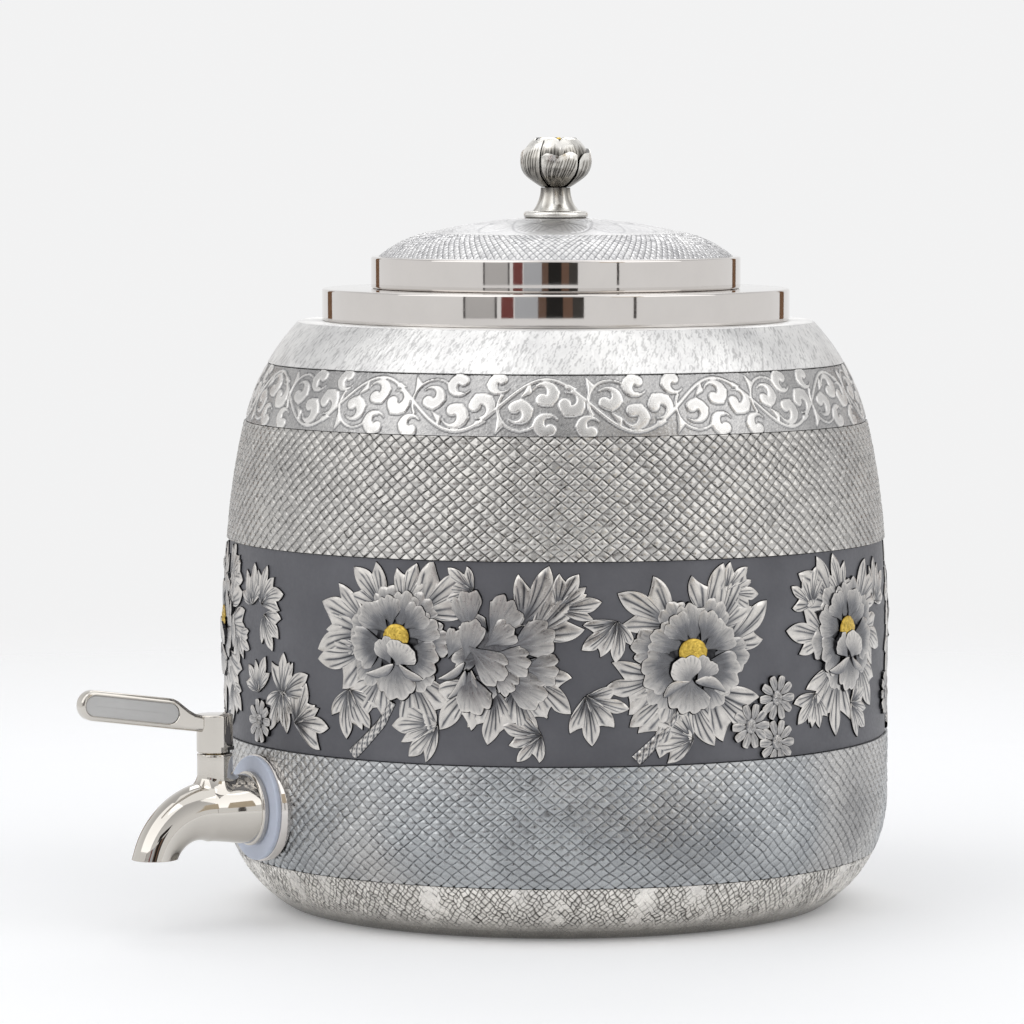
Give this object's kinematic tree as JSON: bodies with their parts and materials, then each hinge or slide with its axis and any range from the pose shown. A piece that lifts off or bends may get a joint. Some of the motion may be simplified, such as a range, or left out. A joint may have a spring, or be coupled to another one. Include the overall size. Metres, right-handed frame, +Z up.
{
  "type": "drink dispenser",
  "caption": "Barrel-shaped metal drink dispenser with chased bands, a dark floral frieze, a lift-off domed lid with a bud knob, and a lever tap with a curved spout.",
  "frame": {"origin": "centre of the flat underside, on the axis of the barrel", "axes": "+Z up along the barrel axis, -Y the way the tap points, +X to the side that the lever swings to when it opens"},
  "size_m": [0.2248, 0.2881, 0.255],
  "materials": {
    "hammered_tin": "bright hammered",
    "chased_tin": "chased diamond cross-hatch",
    "dark_ground": "dark matt patina",
    "scroll_tin": "stippled ground with bright scrolls",
    "polished_tin": "mirror polished",
    "relief_tin": "chased relief with dark hollows",
    "gold_trim": "gold plated",
    "polished_steel": "mirror polished, warm",
    "gasket": "translucent silicone",
    "plain_steel": "plain",
    "dark_steel": "blackened",
    "valve_brass": "turned",
    "black_rubber": "matt",
    "inlay_grey": "matt",
    "engraved_tin": "fine engraving",
    "plain_tin": "plain spun"
  },
  "bodies": {
    "vessel": {"base_pan": "hammered_tin", "lower_band": "chased_tin", "frieze_ring": "dark_ground", "upper_band": "chased_tin", "scroll_band": "scroll_tin", "shoulder_ring": "hammered_tin", "neck_collar": "polished_tin", "frieze_blossoms": "relief_tin", "frieze_leaves": "relief_tin", "frieze_stamens": "gold_trim", "tap_boss": "polished_steel", "outer_gasket": "gasket", "inner_gasket": "gasket", "backing_washer": "plain_steel", "lock_nut": "plain_steel", "tap_body": "polished_steel", "stop_pin": "dark_steel", "retaining_ring": "plain_steel"},
    "lever": {"valve_plug": "valve_brass", "stem_o_rings": "black_rubber", "tap_handle": "polished_steel", "handle_inlays": "inlay_grey", "set_screw": "dark_steel"},
    "lid": {"lid_rim": "polished_tin", "lid_dome": "engraved_tin", "lid_skirt": "plain_tin", "knob_flange": "polished_tin", "knob_stem": "polished_tin", "knob_bud": "relief_tin", "knob_anthers": "gold_trim", "knob_washer": "plain_steel", "knob_screw": "plain_steel"}
  },
  "joints": [
    {"name": "lid_lift", "type": "slide", "parent": "vessel", "child": "lid", "axis": [0, 0, 1], "range_m": [0, 0.12]},
    {"name": "tap_turn", "type": "hinge", "parent": "vessel", "child": "lever", "pos_m": [0, -0.1282, 0.06], "axis": [0, 0, 1], "range_deg": [0, 90]}
  ]
}
